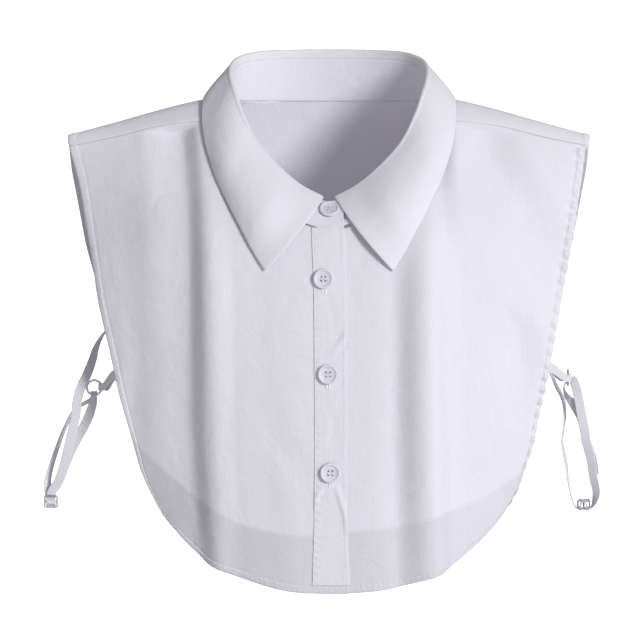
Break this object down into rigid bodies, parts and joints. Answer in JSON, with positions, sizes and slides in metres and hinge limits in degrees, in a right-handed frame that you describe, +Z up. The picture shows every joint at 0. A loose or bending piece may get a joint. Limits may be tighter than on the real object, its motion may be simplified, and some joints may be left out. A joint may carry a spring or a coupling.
{
  "type": "detachable shirt collar",
  "caption": "Hollow detachable shirt collar with stand and folded leaf, buttoned front bib, short back and elastic side straps.",
  "frame": {"origin": "centre of the neck opening at the height of the neck seam's sides, where the wearer's neck holds the collar", "axes": "+X to the wearer's left, -Y out of the buttoned front, +Z up along the neck"},
  "size_m": [0.3621, 0.1467, 0.3453],
  "materials": {
    "white_poplin": "plain woven cotton, matt",
    "white_fused_poplin": "woven cotton over interlining, matt and smooth",
    "white_elastic": "ribbed elastic tape",
    "white_button_resin": "pearly resin",
    "clear_plastic": "clear moulded plastic"
  },
  "bodies": {
    "root": {"front_right": "white_poplin", "front_left": "white_poplin", "back_panel": "white_poplin", "placket_band": "white_poplin", "collar_stand": "white_fused_poplin", "collar_leaf": "white_fused_poplin", "button_collar": "white_button_resin", "button_top": "white_button_resin", "button_middle": "white_button_resin", "button_low": "white_button_resin", "strap_right": "white_elastic", "strap_left": "white_elastic", "tab_right": "white_elastic", "tab_left": "white_elastic", "ring_right": "clear_plastic", "ring_left": "clear_plastic", "slider_right": "clear_plastic", "slider_left": "clear_plastic"}
  },
  "joints": []
}
